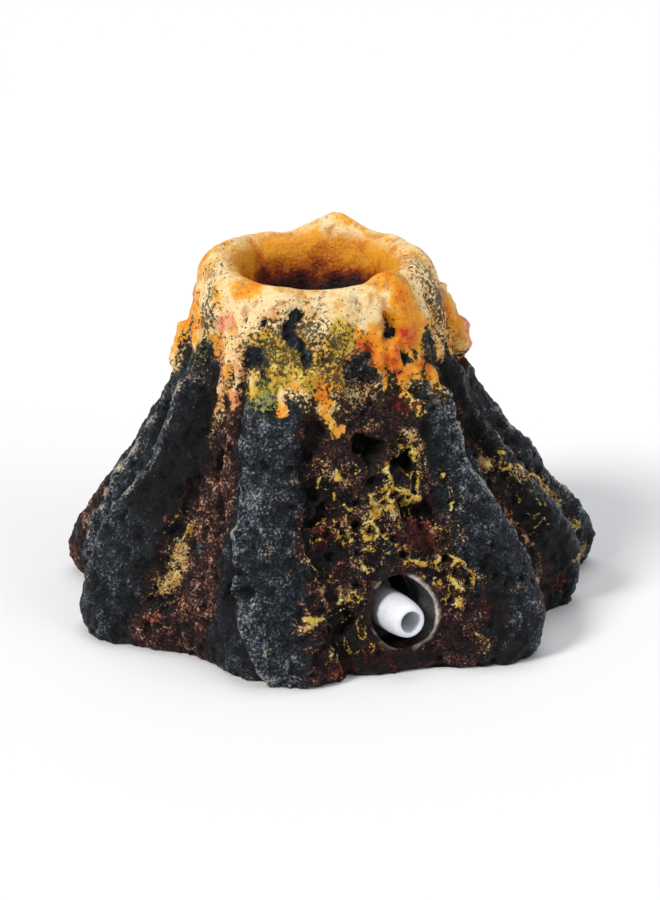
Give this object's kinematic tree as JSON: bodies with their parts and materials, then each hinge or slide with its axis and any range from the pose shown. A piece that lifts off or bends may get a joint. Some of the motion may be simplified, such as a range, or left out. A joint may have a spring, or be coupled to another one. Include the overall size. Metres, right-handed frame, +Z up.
{
  "type": "bubbling volcano aquarium ornament",
  "caption": "Small volcano-shaped aquarium ornament that lets air bubbles rise from its crater, with an air stone inside and a hose nozzle in its side.",
  "frame": {"origin": "on the resting plane, straight below the middle of the crater and the air stone", "axes": "+Z up, -Y towards the front where the air port is, +X to the right seen from the front"},
  "size_m": [0.0705, 0.0595, 0.0475],
  "materials": {
    "painted_resin": "matte",
    "white_plastic": "satin",
    "clear_silicone": "satin",
    "air_stone_mineral": "matte",
    "adhesive": "satin"
  },
  "bodies": {
    "root": {"resin_shell": "painted_resin", "adhesive_bead": "adhesive", "air_stone": "air_stone_mineral", "stone_stem": "white_plastic", "stem_hose": "clear_silicone"},
    "air_line": {"elbow": "white_plastic", "inlet_hose": "clear_silicone"},
    "nozzle": {"inlet_connector": "white_plastic"}
  },
  "joints": [
    {"name": "air_line_swing", "type": "hinge", "parent": "root", "child": "air_line", "pos_m": [0, 0, 0.0125], "axis": [0, 0, 1], "range_deg": [-1.8, 3]},
    {"name": "nozzle_draw", "type": "slide", "parent": "air_line", "child": "nozzle", "axis": [0.4122, -0.9004, 0.1392], "range_m": [0, 0.018]}
  ]
}
